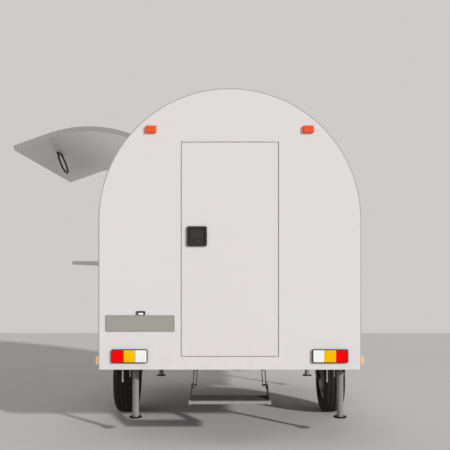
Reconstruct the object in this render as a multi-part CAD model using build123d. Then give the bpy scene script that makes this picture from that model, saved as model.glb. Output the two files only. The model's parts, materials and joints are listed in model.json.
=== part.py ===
import os
from math import atan2, cos, degrees, hypot, radians, sin, tan

from build123d import *

# Round-top food trailer. While it is drawn, x runs to the right seen from behind, y runs forward,
# x = 0 is the middle of the body, y = 0 the rear face and z = 0 the ground. Millimetres, degrees.

# Body shell
body_width = 2000.0
body_length = 2400.0
body_bottom = 550.0
body_top = 2690.0
wall = 40.0
trim_width = 7.0
trim_setback = 3.0
floor_thickness = 38.0

# Rear door: a flush panel that turns on two pins near its right edge
door_width = 748.0
door_sill_rise = 96.0
door_head_drop = 405.0
door_gap = 7.0
door_pivot_in = 14.0
door_pivot_deep = 9.0
door_pin_radius = 5.0
door_pin_reach = 22.0
stop_width = 26.0
stop_overlap = 24.0
stop_gap = 9.0
stop_thickness = 12.0

# Paddle latch on the door
latch_size = 152.0
latch_inset = 124.5
latch_rise = 918.0
latch_proud = 14.0
latch_corner = 12.0
latch_border = 16.5
latch_floor = 4.0
paddle_gap = 8.5
paddle_proud = 11.0
paddle_drop = 18.0

# Side hatch, which rests open
opening_start = 335.0
opening_from_front = 210.0
opening_drop = 308.0
hatch_gap = 7.0
hatch_hinge_angle = 45.7
hatch_open_angle = 70.5
hatch_barrel_radius = 8.0
hatch_leaf_width = 38.0
handle_along = 565.0
handle_width = 165.0
handle_reach = 180.0
handle_from_edge = 233.0
handle_bar_radius = 11.0
handle_plate_margin = 20.0
handle_plate_height = 6.0

# Serving shelf, which folds up against the opening
shelf_reach = 280.0
shelf_thickness = 29.0
shelf_drop = 1.0
shelf_standoff = 8.0
shelf_nose_radius = 7.0
shelf_barrel_radius = 5.0
shelf_leaf_width = 22.0
bracket_reach = 118.0
bracket_drop = 96.0
bracket_plate = 8.0
bracket_flange = 32.0
bracket_rest = 4.0
bracket_count = 4

# Long hinges
leaf_thickness = 2.5
pin_share = 0.45
pin_play = 0.2
knuckle_gap = 0.6
knuckle_relief = 0.3
knuckle_web = 1.5
knuckle_count = 11

# Chassis and drawbar
rail_inset = 350.0
rail_width = 40.0
cross_width = 40.0
cross_side_gap = 10.0
rear_cross_y = 125.0
drawbar_height = 70.0
drawbar_width = 50.0
drawbar_under_body = 620.0
drawbar_reach = 1220.0
drawbar_inside_rail = 90.0
drawbar_nose_x = 45.0
nose_length = 150.0

# Ball coupling and its hand lever
coupling_reach = 180.0
socket_radius = 25.4
socket_length = 30.0
head_radius = 46.0
head_height = 88.0
head_drop = 10.0
head_round = 23.0
shank_half_width = 34.0
shank_drop = 10.0
coupling_plate = 10.0
coupling_plate_overhang = 60.0
coupling_gusset = 12.0
lever_post_radius = 12.0
lever_post_height = 26.0
lever_post_setback = 5.0
lever_bar_radius = 9.0
lever_bar_length = 178.0
lever_bar_rise_angle = 17.6
lever_grip_radius = 14.0
lever_grip_length = 90.0

# Wheels and torsion axle
axle_y = 1085.0
tyre_radius = 315.0
tyre_width = 184.0
tyre_bead_half = 62.5
tyre_bead_height = 14.0
tyre_bulge_rise = 77.0
tyre_tread_half = 66.0
wheel_inset = 59.0
rim_seat_radius = 185.0
rim_well = 12.0
rim_flange_height = 11.0
rim_flange_thickness = 5.0
disc_offset = 26.0
disc_plate = 7.0
disc_dish = 12.0
disc_ring_radius = 102.0
disc_edge_radius = 152.0
disc_edge_dish = 6.0
vent_count = 8
vent_radius = 17.0
vent_circle_radius = 130.0
hub_radius = 60.0
hub_face_radius = 72.0
hub_cap_radius = 34.0
hub_cap_length = 30.0
hub_cap_chamfer = 6.0
drum_radius = 115.0
drum_inset = 2.0
drum_web_offset = -8.0
spindle_radius = 20.0
spindle_end = 4.0
arm_length = 155.0
arm_angle = 45.0
arm_thickness = 22.0
arm_tyre_gap = 10.0
axle_beam_size = 68.0
axle_pad_overhang = 14.0
arch_clearance = 72.0
liner_thickness = 8.0
liner_tyre_gap = 30.0
lip_width = 34.0
lip_proud = 46.0

# Corner legs, each on a cross pin, with a lock lever and a hook
leg_left_inset = 255.0
leg_right_inset = 124.0
leg_from_end = 207.0
leg_pivot_rise = 2.0
leg_post_radius = 25.5
leg_foot_bottom = 140.0
leg_foot_height = 8.0
leg_foot_radius = 51.0
leg_pin_radius = 9.0
leg_cheek = 6.0
leg_cheek_drop = 48.0
leg_side_gap = 2.0
lock_offset = 103.0
lock_radius = 6.0
lock_drop = 132.0
hook_offset = 44.0
hook_drop = 90.0
hook_radius = 3.5
hook_reach = 26.0

# Entry step on two pairs of parallel links
step_half_width = 300.0
step_bar_half_width = 310.0
step_top = 325.0
step_thickness = 30.0
step_rear = -53.0
step_depth = 204.0
step_plate = 6.0
step_sheet = 3.0
step_side_gap = 5.0
step_pad_thickness = 4.0
step_bar_depth = 16.0
step_bar_height = 22.0
step_cap_length = 16.0
link_length = 195.0
link_angle = 41.9
link_pivot_y = 300.0
link_pivot_drop = 30.0
link_pitch = 90.0
link_width = 24.0
link_edge = 14.4
step_pin_radius = 7.0
step_pin_end = 2.0

# Lamps and number plate
tail_width = 274.0
tail_height = 103.0
tail_inset = 101.0
tail_rise = 103.5
tail_proud = 16.0
tail_rim = 6.0
tail_corner = 11.0
lens_gap = 2.0
lens_proud = 6.0
marker_width = 82.0
marker_height = 54.0
marker_corner = 8.0
marker_inset = 90.6
marker_angle = 41.03
marker_proud = 25.0
side_marker_length = 100.0
side_marker_height = 55.0
side_marker_corner = 12.0
side_marker_rise = 61.0
side_marker_from_end = 92.0
side_marker_proud = 30.0
plate_width = 522.0
plate_height = 123.0
plate_corner = 8.0
plate_inset = 59.0
plate_rise = 353.0
plate_thickness = 6.0
plate_lamp_width = 67.0
plate_lamp_height = 38.0
plate_lamp_depth = 34.0
plate_lamp_overlap = 7.0
plate_lamp_aside = 4.0

# Jockey wheel beside the drawbar
jockey_setback = 100.0
jockey_tube_radius = 24.0
jockey_tube_rise = 210.0
jockey_stem_radius = 19.0
jockey_stem_shown = 36.0
jockey_stem_inside = 168.0
jockey_stem_room = 8.0
jockey_wheel_radius = 100.0
jockey_wheel_width = 56.0
jockey_hub_radius = 28.0
jockey_web_half = 17.0
jockey_rim_thickness = 28.0
jockey_tread_round = 8.0
jockey_trail = 40.0
jockey_crown_gap = 14.0
jockey_crown_height = 12.0
jockey_cheek = 6.0
jockey_cheek_half = 22.0
jockey_side_gap = 5.0
jockey_pin_radius = 8.0
jockey_pin_end = 6.0
jockey_beam_gap = 14.0
clamp_height = 60.0
clamp_drop = 5.0
clamp_wall = 9.0
clamp_half = 20.0
crank_rise = 24.0
crank_reach = 120.0
crank_radius = 7.0
grip_radius = 13.0
grip_height = 95.0

# Places that follow from these sizes
half = body_width / 2
inner = half - wall
spring = body_top - half
door_sill = body_bottom + door_sill_rise
door_head = body_top - door_head_drop
door_half = door_width / 2
door_pivot_x = door_half - door_gap - door_pivot_in
floor_top = door_sill
chassis_top = floor_top - floor_thickness
opening_end = body_length - opening_from_front
opening_sill = spring - opening_drop
hinge_sin = sin(radians(hatch_hinge_angle))
hinge_cos = cos(radians(hatch_hinge_angle))
hatch_axis_radius = half + hatch_barrel_radius
hatch_axis_x = -hatch_axis_radius * hinge_sin
hatch_axis_z = spring + hatch_axis_radius * hinge_cos
hatch_axis = Axis((hatch_axis_x, 0, hatch_axis_z), (0, 1, 0))
shelf_top = opening_sill - shelf_drop
shelf_mount_x = -half - shelf_standoff
shelf_axis_x = shelf_mount_x - shelf_barrel_radius
shelf_axis_z = shelf_top - shelf_barrel_radius
shelf_axis = Axis((shelf_axis_x, 0, shelf_axis_z), (0, 1, 0))
shelf_inner_x = shelf_axis_x - shelf_barrel_radius
shelf_start = opening_start
shelf_end = opening_end
rail_x = half - rail_inset
front_cross_y = body_length - rear_cross_y - cross_width
drawbar_top = body_bottom
drawbar_bottom = drawbar_top - drawbar_height
drawbar_rear_x = rail_x - drawbar_inside_rail
drawbar_rear_y = body_length - drawbar_under_body
drawbar_nose_y = body_length + drawbar_reach
coupling_y = drawbar_nose_y + coupling_reach
wheel_centre_x = half - wheel_inset
wheel_z = tyre_radius
arch_radius = tyre_radius + arch_clearance
tyre_inner_x = wheel_centre_x - tyre_width / 2
liner_inner_x = tyre_inner_x - liner_tyre_gap - liner_thickness
beam_y = axle_y + arm_length * cos(radians(arm_angle))
beam_z = wheel_z + arm_length * sin(radians(arm_angle))
leg_x = (leg_left_inset - half, half - leg_right_inset)
leg_pivot_z = body_bottom + leg_pivot_rise
link_pivot_z = body_bottom - link_pivot_drop
jockey_y = drawbar_nose_y - jockey_setback
sides = (-1, 1)
from_below = (Align.CENTER, Align.CENTER, Align.MIN)
pieces = {}


def block(x0, x1, y0, y1, z0, z1):
    middle = Pos((x0 + x1) / 2, (y0 + y1) / 2, (z0 + z1) / 2)
    return middle * Box(x1 - x0, y1 - y0, z1 - z0)


def sided(side, x0, x1):
    # The same span on the left or right side, lower end first.
    return tuple(sorted((side * x0, side * x1)))


def rod(start, end, radius):
    run = Vector(*end) - Vector(*start)
    return Solid.make_cylinder(radius, run.length, Plane(start, z_dir=run))


def upright(face, y0, y1):
    # A face drawn in x and z, given a thickness from y0 to y1.
    return extrude(Plane((0, y1, 0), x_dir=(1, 0, 0), z_dir=(0, -1, 0)) * face, amount=y1 - y0)


def sidelong(face, x0, x1):
    # A face drawn in y and z, given a thickness from x0 to x1.
    return extrude(Plane((x0, 0, 0), x_dir=(0, 1, 0), z_dir=(1, 0, 0)) * face, amount=x1 - x0)


def lying(face, z0, z1):
    # A face drawn in x and y, given a thickness from z0 to z1.
    return extrude(Plane((0, 0, z0)) * face, amount=z1 - z0)


def polygon(*points):
    return make_face(Polyline(*points, close=True))


def arch(half_width):
    # Straight sides under a half circle.
    left = (-half_width, spring)
    right = (half_width, spring)
    sides_and_foot = Polyline(left, (-half_width, body_bottom), (half_width, body_bottom), right)
    return make_face(sides_and_foot + ThreePointArc(right, (0, spring + half_width), left))


def ring(outer_radius, inner_radius):
    return Circle(outer_radius) - Circle(inner_radius)


def link_face(start, end, width):
    # A flat bar with round ends, drawn from one pivot to the other.
    run = hypot(end[0] - start[0], end[1] - start[1])
    turn = degrees(atan2(end[1] - start[1], end[0] - start[0]))
    middle = Pos((start[0] + end[0]) / 2, (start[1] + end[1]) / 2)
    return middle * Rot(0, 0, turn) * SlotCenterToCenter(run, width)


def turned(profile, side, centre_x, y, z):
    # A profile of (radius, distance outward) points, turned about the wheel's own axis.
    spun = revolve(Plane.XZ * polygon(*profile), Axis.Z)
    return Pos(side * centre_x, y, z) * Rot(0, side * 90, 0) * spun


def hinge_pair(length, radius, leaf_width):
    # Two leaves in the plane y = 0, the fixed one toward -x. Knuckles take turns along the barrel
    # and the pin belongs to the fixed leaf. Moving knuckles are relieved to turn free of the skin.
    knuckle = length / knuckle_count
    run = knuckle - knuckle_gap
    clear = radius + knuckle_web
    pin_radius = radius * pin_share
    moving_start = knuckle + knuckle_gap
    fixed = block(-leaf_width, -clear, 0, leaf_thickness, 0, length)
    fixed += Pos(0, radius, 0) * Cylinder(pin_radius, length, align=from_below)
    moving = block(clear, leaf_width, 0, leaf_thickness, moving_start, length - moving_start)
    for index in range(knuckle_count):
        start = index * knuckle + knuckle_gap / 2
        place = Pos(0, radius, start)
        if index % 2 == 0:
            fixed += place * Cylinder(radius, run, align=from_below)
            fixed += block(-clear, 0, 0, leaf_thickness, start, start + run)
        else:
            turning = place * Cylinder(radius - knuckle_relief, run, align=from_below)
            turning += block(0, clear, knuckle_relief, leaf_thickness, start, start + run)
            moving += turning - place * Cylinder(pin_radius + pin_play, run, align=from_below)
    return fixed, moving


# Floor, walls and roof
arch_place = Pos(axle_y, wheel_z)
arch_space = sidelong(arch_place * Circle(arch_radius), -body_width, body_width)
liner_space = sidelong(arch_place * Circle(arch_radius + liner_thickness), -body_width, body_width)
aisle = block(-liner_inner_x, liner_inner_x, 0, body_length, body_bottom, body_top)

floor_panel = block(-inner, inner, wall, body_length - wall, chassis_top, floor_top)
pieces["floor_panel"] = floor_panel - (liner_space - aisle)

end_face = arch(half - trim_width)
doorway = block(-door_half, door_half, -wall, wall * 2, door_sill, door_head)
rear_wall = upright(end_face, 0, wall) - doorway

door = block(-door_half + door_gap, door_half - door_gap, 0, wall, door_sill + door_gap, door_head - door_gap)
pivots = []
for edge_z, reach in ((door_head, door_pin_reach), (door_sill, -door_pin_reach)):
    in_wall = (door_pivot_x, door_pivot_deep, edge_z + reach)
    past_gap = door_gap if reach > 0 else -door_gap
    in_door = (door_pivot_x, door_pivot_deep, edge_z - past_gap - reach)
    pin = rod(in_wall, in_door, door_pin_radius)
    pivots.append(pin)
    rear_wall -= pin
    door -= rod(in_wall, in_door, door_pin_radius + pin_play)
pieces["rear_wall"] = rear_wall
pieces["rear_door"] = door
pieces["door_pivot_pins"] = pivots
pieces["front_wall"] = upright(end_face, body_length - wall, body_length)

edge_face = arch(half) - end_face
pieces["rear_edge_trim"] = upright(edge_face, trim_setback, wall)
pieces["front_edge_trim"] = upright(edge_face, body_length - wall, body_length - trim_setback)

hatch_space = block(-body_width, 0, opening_start, opening_end, opening_sill, spring)
for side, name in zip(sides, ("left_side_wall", "right_side_wall")):
    x0, x1 = sided(side, inner, half)
    side_wall = block(x0, x1, wall, body_length - wall, body_bottom, spring) - arch_space
    pieces[name] = side_wall - hatch_space

upper_half = Pos(0, half) * Rectangle(body_width, body_width)
roof_face = Pos(0, spring) * (ring(half, inner) & upper_half)
hinge_edge = (-body_width * hinge_sin, body_width * hinge_cos)
open_wedge = Pos(0, spring) * polygon((0, 0), (-body_width, 0), hinge_edge)
roof_shell = upright(roof_face, wall, body_length - wall)
pieces["roof_shell"] = roof_shell - upright(open_wedge, opening_start, opening_end)

liners = []
lips = []
above_sill = block(-body_width, body_width, 0, body_length, body_bottom, body_top)
for side in sides:
    hoop = arch_place * ring(arch_radius + liner_thickness, arch_radius)
    back = arch_place * Circle(arch_radius + liner_thickness)
    liner = sidelong(hoop, *sided(side, liner_inner_x, inner))
    liner += sidelong(back, *sided(side, liner_inner_x, liner_inner_x + liner_thickness))
    liners.append(liner & above_sill)
    lip = arch_place * ring(arch_radius + lip_width, arch_radius)
    lips.append(sidelong(lip, *sided(side, half, half + lip_proud)) & above_sill)
pieces["wheel_arch_liners"] = liners
pieces["wheel_arch_lips"] = lips

# Door stop frame on the inside, and the paddle latch
stop_y = wall + stop_gap
stop_back = stop_y + stop_thickness
lap_half = door_half - stop_overlap
stop_frame = block(-door_half - stop_width, door_half + stop_width, wall, stop_back,
                   door_sill, door_head + stop_width)
stop_frame -= block(-door_half, door_half, wall, stop_y, door_sill, door_head)
stop_frame -= block(-lap_half, lap_half, wall, stop_back, door_sill, door_head - stop_overlap)
pieces["door_stop_frame"] = stop_frame

latch_place = Pos(-door_half + latch_inset, door_sill + latch_rise)
cup_size = latch_size - latch_border * 2
paddle_size = cup_size - paddle_gap * 2
paddle_height = cup_size / 2 - paddle_gap + paddle_drop
bezel = latch_place * RectangleRounded(latch_size, latch_size, latch_corner)
cup = latch_place * Rectangle(cup_size, cup_size)
paddle = latch_place * Pos(0, paddle_height / 2 - paddle_drop) * Rectangle(paddle_size, paddle_height)
latch = upright(bezel, -latch_proud, 0) - upright(cup, -latch_proud, -latch_floor)
pieces["door_latch"] = latch + upright(paddle, -paddle_proud, -latch_floor)

# Side hatch: drawn closed, then turned open about its hinge
hatch_start = opening_start + hatch_gap
hatch_end = opening_end - hatch_gap
hatch_foot = opening_sill + hatch_gap
hatch_top_angle = radians(hatch_hinge_angle + degrees(hatch_gap / half))
hatch_edge = (-body_width * sin(hatch_top_angle), body_width * cos(hatch_top_angle))
hatch_wedge = Pos(0, spring) * polygon((0, 0), (-body_width, 0), hatch_edge)
hatch = upright(roof_face & hatch_wedge, hatch_start, hatch_end)
hatch += block(-half, -inner, hatch_start, hatch_end, hatch_foot, spring)
pieces["serving_hatch"] = hatch.rotate(hatch_axis, hatch_open_angle)

# The handle stands on the hatch's inner face, at a distance along it from the free edge
straight_run = spring - hatch_foot
handle_turn = max(0.0, handle_from_edge - straight_run) / inner
handle_foot_x = -inner * cos(handle_turn)
handle_foot_z = hatch_foot + min(handle_from_edge, straight_run) + inner * sin(handle_turn)
handle_x = handle_foot_x + handle_reach * cos(handle_turn)
handle_z = handle_foot_z - handle_reach * sin(handle_turn)
handle_y0 = opening_start + handle_along - handle_width / 2
handle_y1 = handle_y0 + handle_width
handle_place = Plane((handle_foot_x, 0, handle_foot_z), x_dir=(0, 1, 0),
                     z_dir=(cos(handle_turn), 0, -sin(handle_turn)))
handle = rod((handle_y0, 0, handle_reach), (handle_y1, 0, handle_reach), handle_bar_radius)
for y in (handle_y0, handle_y1):
    handle += rod((y, 0, 0), (y, 0, handle_reach), handle_bar_radius)
    handle += Pos(y, 0, handle_reach) * Sphere(handle_bar_radius)
handle_plate = (handle_y0 - handle_plate_margin, handle_y1 + handle_plate_margin)
handle += block(*handle_plate, -handle_plate_margin, handle_plate_margin, 0, handle_plate_height)
handle = handle_place * handle - hatch
pieces["hatch_handle"] = handle.rotate(hatch_axis, hatch_open_angle)

hatch_hinge_place = Plane((-half * hinge_sin, hatch_start, spring + half * hinge_cos),
                          x_dir=(-hinge_cos, 0, -hinge_sin), z_dir=(0, 1, 0))
hatch_fixed, hatch_moving = hinge_pair(hatch_end - hatch_start, hatch_barrel_radius, hatch_leaf_width)
pieces["hatch_hinge_fixed"] = hatch_hinge_place * hatch_fixed
pieces["hatch_hinge_leaf"] = (hatch_hinge_place * hatch_moving).rotate(hatch_axis, hatch_open_angle)

# Serving shelf: turns up about the hinge at its inner edge, and rests on fixed brackets
shelf_bottom = shelf_top - shelf_thickness
shelf = block(-half - shelf_reach, shelf_inner_x, shelf_start, shelf_end, shelf_bottom, shelf_top)
nose_edges = shelf.edges().filter_by(Axis.Y).sort_by(Axis.X)[:2]
pieces["serving_shelf"] = fillet(nose_edges, min(shelf_nose_radius, shelf_thickness / 3))

shelf_hinge_place = Plane((shelf_mount_x, shelf_end, shelf_axis_z), x_dir=(0, 0, 1), z_dir=(0, -1, 0))
shelf_fixed, shelf_moving = hinge_pair(shelf_end - shelf_start, shelf_barrel_radius, shelf_leaf_width)
packer = block(shelf_mount_x, -half, shelf_start, shelf_end, shelf_axis_z - shelf_leaf_width,
               shelf_axis_z - shelf_barrel_radius - knuckle_web)
pieces["shelf_hinge_fixed"] = shelf_hinge_place * shelf_fixed + packer
pieces["shelf_hinge_leaf"] = (shelf_hinge_place * shelf_moving).rotate(shelf_axis, 180)

gusset = polygon((-half, shelf_bottom), (-half - bracket_reach, shelf_bottom), (-half, shelf_bottom - bracket_drop))
bracket_pitch = (shelf_end - shelf_start) / bracket_count
brackets = []
for index in range(bracket_count):
    y = shelf_start + bracket_pitch * (index + 0.5)
    rest = block(-half - bracket_reach, -half, y - bracket_flange / 2, y + bracket_flange / 2,
                 shelf_bottom - bracket_rest, shelf_bottom)
    brackets.append(upright(gusset, y - bracket_plate / 2, y + bracket_plate / 2) + rest)
pieces["shelf_brackets"] = brackets

# Chassis: two rails and five cross members
cross_long = inner - cross_side_gap
cross_members = (
    # rear edge, half length
    (rear_cross_y, cross_long),
    (link_pivot_y + link_pitch / 2 - cross_width / 2, rail_x),
    (beam_y - cross_width / 2, rail_x),
    (drawbar_rear_y, rail_x),
    (front_cross_y, cross_long),
)
chassis = None
for side in sides:
    rail_side = sided(side, rail_x - rail_width / 2, rail_x + rail_width / 2)
    rail = block(*rail_side, rear_cross_y, front_cross_y + cross_width, body_bottom, chassis_top)
    chassis = rail if chassis is None else chassis + rail
for start_y, half_length in cross_members:
    chassis += block(-half_length, half_length, start_y, start_y + cross_width, body_bottom, chassis_top)
pieces["chassis_frame"] = chassis

# Drawbar: two beams that meet in a nose block
draw_turn = atan2(drawbar_rear_x - drawbar_nose_x, drawbar_nose_y - drawbar_rear_y)
across = drawbar_width / 2 / cos(draw_turn)
nose_half = drawbar_nose_x + drawbar_width
nose_start = drawbar_nose_y - nose_length
drawbar = block(-nose_half, nose_half, nose_start, drawbar_nose_y, drawbar_bottom, drawbar_top)
for side in sides:
    beam = polygon(
        (side * (drawbar_rear_x - across), drawbar_rear_y), (side * (drawbar_rear_x + across), drawbar_rear_y),
        (side * (drawbar_nose_x + across), drawbar_nose_y), (side * (drawbar_nose_x - across), drawbar_nose_y),
    )
    drawbar += lying(beam, drawbar_bottom, drawbar_top)
pieces["drawbar"] = drawbar

# Ball coupling: head with socket, shank, top plate and gusset
head_bottom = drawbar_bottom - head_drop
socket_top = head_bottom + socket_length
plate_front = drawbar_nose_y + coupling_plate_overhang
head = Pos(0, coupling_y, head_bottom) * Cylinder(head_radius, head_height, align=from_below)
head = fillet(head.edges().group_by(Axis.Z)[-1], head_round)
head += block(-shank_half_width, shank_half_width, drawbar_nose_y, coupling_y,
              drawbar_bottom, drawbar_top - shank_drop)
head += block(-drawbar_nose_x, drawbar_nose_x, nose_start, plate_front, drawbar_top, drawbar_top + coupling_plate)
head += block(-shank_half_width, shank_half_width, drawbar_nose_y, plate_front,
              drawbar_top - coupling_gusset, drawbar_top)
head -= rod((0, coupling_y, head_bottom), (0, coupling_y, socket_top), socket_radius)
head -= Pos(0, coupling_y, socket_top) * Sphere(socket_radius)
pieces["tow_coupling"] = head

lever_y = coupling_y - lever_post_setback
lever_foot = head_bottom + head_height
lever_knee = lever_foot + lever_post_height
lever_aim = Vector(0, -cos(radians(lever_bar_rise_angle)), sin(radians(lever_bar_rise_angle)))
lever_start = Vector(0, lever_y, lever_knee)
lever_end = lever_start + lever_aim * lever_bar_length
grip_start = lever_end - lever_aim * lever_grip_length
lever = rod((0, lever_y, lever_foot), (0, lever_y, lever_knee), lever_post_radius)
lever += rod(tuple(lever_start), tuple(lever_end), lever_bar_radius)
lever += rod(tuple(grip_start), tuple(lever_end), lever_grip_radius)
pieces["coupling_lever"] = lever

# Torsion axle: beam under the rails, trailing arms with spindles
beam_half = axle_beam_size / 2
arm_inner_x = tyre_inner_x - arm_tyre_gap - arm_thickness
pad_half = beam_half + axle_pad_overhang
axle = block(-arm_inner_x, arm_inner_x, beam_y - beam_half, beam_y + beam_half, beam_z - beam_half, beam_z + beam_half)
arms = []
for side in sides:
    rail_side = sided(side, rail_x - rail_width / 2, rail_x + rail_width / 2)
    axle += block(*rail_side, beam_y - pad_half, beam_y + pad_half, beam_z - beam_half, body_bottom)
    arm = link_face((beam_y, beam_z), (axle_y, wheel_z), axle_beam_size)
    arm = sidelong(arm, *sided(side, arm_inner_x, arm_inner_x + arm_thickness))
    spindle_tip = side * (wheel_centre_x + drum_web_offset - spindle_end)
    arm += rod((side * arm_inner_x, axle_y, wheel_z), (spindle_tip, axle_y, wheel_z), spindle_radius)
    arms.append(arm)
pieces["axle_beam"] = axle
pieces["trailing_arms"] = arms

# Road wheels, as (radius, distance outward from the middle of the tyre)
bulge = tyre_width / 2
tyre_side = (
    # radius, distance from the middle, out along one side of the tyre
    (rim_seat_radius, tyre_bead_half), (rim_seat_radius + tyre_bead_height, tyre_bead_half),
    (rim_seat_radius + tyre_bulge_rise, bulge), (tyre_radius, tyre_tread_half),
)
tyre_profile = tuple((radius, -out) for radius, out in tyre_side) + tuple(reversed(tyre_side))
well_radius = rim_seat_radius - rim_well
flange_radius = rim_seat_radius + rim_flange_height
flange_out = tyre_bead_half + rim_flange_thickness
disc_line = (
    # radius, distance outward of the disc's inner face
    (hub_cap_radius, disc_offset), (hub_face_radius, disc_offset), (disc_ring_radius, disc_offset + disc_dish),
    (disc_edge_radius, disc_offset + disc_edge_dish), (well_radius, disc_offset - disc_dish),
)
rim_profile = disc_line + (
    (well_radius, -flange_out), (flange_radius, -flange_out), (flange_radius, -tyre_bead_half),
    (rim_seat_radius, -tyre_bead_half), (rim_seat_radius, tyre_bead_half), (flange_radius, tyre_bead_half),
    (flange_radius, flange_out), (well_radius, flange_out),
) + tuple((radius, out + disc_plate) for radius, out in reversed(disc_line))
drum_start = drum_inset - bulge
cap_end = disc_offset + hub_cap_length
spindle_bore = spindle_radius + pin_play
hub_profile = (
    (spindle_bore, drum_start), (drum_radius, drum_start), (drum_radius, drum_web_offset),
    (hub_radius, drum_web_offset), (hub_radius, disc_offset), (hub_cap_radius, disc_offset),
    (hub_cap_radius, cap_end - hub_cap_chamfer), (hub_cap_radius - hub_cap_chamfer, cap_end), (0, cap_end),
    (0, drum_web_offset), (spindle_bore, drum_web_offset),
)
for side, word in zip(sides, ("left", "right")):
    place = (side, wheel_centre_x, axle_y, wheel_z)
    rim = turned(rim_profile, *place)
    for index in range(vent_count):
        turn = radians(360.0 * index / vent_count)
        y = axle_y + vent_circle_radius * cos(turn)
        z = wheel_z + vent_circle_radius * sin(turn)
        rim -= rod((side * wheel_centre_x, y, z), (side * (wheel_centre_x + bulge), y, z), vent_radius)
    pieces["tyre_" + word] = turned(tyre_profile, *place)
    pieces["rim_" + word] = rim
    pieces["hub_" + word] = turned(hub_profile, *place)

# Corner legs: brackets on the end cross members, swing-up legs, lock levers with hooks
leg_ends = (
    # name, leg's place along the body, face of the cross member, direction into the body
    ("rear", leg_from_end, rear_cross_y + cross_width, 1),
    ("front", body_length - leg_from_end, front_cross_y, -1),
)
cheek_in = leg_post_radius + leg_side_gap
cheek_out = cheek_in + leg_cheek
post_bottom = leg_foot_bottom + leg_foot_height
leg_brackets = []
leg_levers = []
for end_name, leg_y, member_y, inward in leg_ends:
    for x, word in zip(leg_x, ("left", "right")):
        pin_place = (leg_y, leg_pivot_z)
        post = rod((x, leg_y, post_bottom), (x, leg_y, leg_pivot_z), leg_post_radius)
        post += rod((x - leg_post_radius, *pin_place), (x + leg_post_radius, *pin_place), leg_post_radius)
        post += rod((x, leg_y, leg_foot_bottom), (x, leg_y, post_bottom), leg_foot_radius)
        post -= rod((x - cheek_in, *pin_place), (x + cheek_in, *pin_place), leg_pin_radius + pin_play)
        pieces["leg_" + end_name + "_" + word] = post

        bracket = rod((x - cheek_out, *pin_place), (x + cheek_out, *pin_place), leg_pin_radius)
        cheek_y = sorted((member_y, leg_y + inward * leg_post_radius))
        for hand in sides:
            cheek_x = sorted((x + hand * cheek_in, x + hand * cheek_out))
            bracket += block(*cheek_x, *cheek_y, leg_pivot_z - leg_cheek_drop, chassis_top)
        back_y = sorted((member_y, member_y + inward * leg_cheek))
        bracket += block(x - cheek_out, x + cheek_out, *back_y, body_bottom, chassis_top)
        leg_brackets.append(bracket)

        knee = (x - lock_offset, leg_y, leg_pivot_z)
        hook_top = (x - hook_offset, leg_y, leg_pivot_z)
        hook_bend = (x - hook_offset, leg_y, leg_pivot_z - hook_drop)
        hook_tip = (x - hook_offset, leg_y + inward * hook_reach, leg_pivot_z - hook_drop)
        lock = rod((x - cheek_out, *pin_place), knee, lock_radius) + Pos(*knee) * Sphere(lock_radius)
        lock += rod(knee, (x - lock_offset, leg_y, leg_pivot_z - lock_drop), lock_radius)
        lock += rod(hook_top, hook_bend, hook_radius) + Pos(*hook_bend) * Sphere(hook_radius)
        lock += rod(hook_bend, hook_tip, hook_radius)
        leg_levers.append(lock)
pieces["leg_brackets"] = leg_brackets
pieces["leg_lock_levers"] = leg_levers

# Entry step. From outside in: side plate, rear link, hanger, front link. The link pairs run in
# planes of their own, so that they pass each other when the step swings under the body.
drop_y = -link_length * cos(radians(link_angle))
drop_z = -link_length * sin(radians(link_angle))
upper = ((link_pivot_y, link_pivot_z), (link_pivot_y + link_pitch, link_pivot_z))
lower = tuple((y + drop_y, z + drop_z) for y, z in upper)
step_layer = step_plate + step_side_gap
plate_in = step_half_width - step_plate
rear_link_x = plate_in - step_layer
hanger_x = rear_link_x - step_layer
front_link_x = hanger_x - step_layer
link_rows = (
    # node, upper pivot, lower pivot, inner face of the link, end of the upper pin
    ("step_links_rear", upper[0], lower[0], rear_link_x, rear_link_x + step_plate + step_pin_end),
    ("step_links_front", upper[1], lower[1], front_link_x, front_link_x - step_pin_end),
)
hanger_face = Pos(link_pivot_y + link_pitch / 2, body_bottom / 2 + (link_pivot_z - link_width) / 2) * Rectangle(
    link_pitch + link_width * 2, link_pivot_drop + link_width)
hangers = [sidelong(hanger_face, *sided(side, hanger_x, hanger_x + step_plate)) for side in sides]
step_bottom = step_top - step_thickness
step_front = step_rear + step_depth
tread_rear = step_rear + step_bar_depth
pad_bottom = step_top - step_pad_thickness
tread = block(-plate_in, plate_in, tread_rear, step_front, step_bottom, pad_bottom)
tread -= block(-plate_in + step_sheet, plate_in - step_sheet, tread_rear + step_sheet, step_front - step_sheet,
               step_bottom, pad_bottom - step_sheet)
bar_bottom = (step_top + step_bottom - step_bar_height) / 2
tread += block(-step_bar_half_width, step_bar_half_width, step_rear, tread_rear, bar_bottom, bar_bottom + step_bar_height)
for side in sides:
    cap_x = sided(side, step_bar_half_width - step_cap_length, step_bar_half_width)
    tread += block(*cap_x, step_rear, tread_rear, step_bottom, step_top)
knee_y = lower[1][0] + link_width
knee_z = lower[0][1] + link_edge
side_plate = polygon((tread_rear, step_bottom), (step_front, step_bottom), (knee_y, lower[1][1] - link_edge),
                     (knee_y, knee_z), (lower[0][0] - link_width, knee_z), (tread_rear, step_top))
for side in sides:
    tread += sidelong(side_plate, *sided(side, plate_in, step_half_width))
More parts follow.
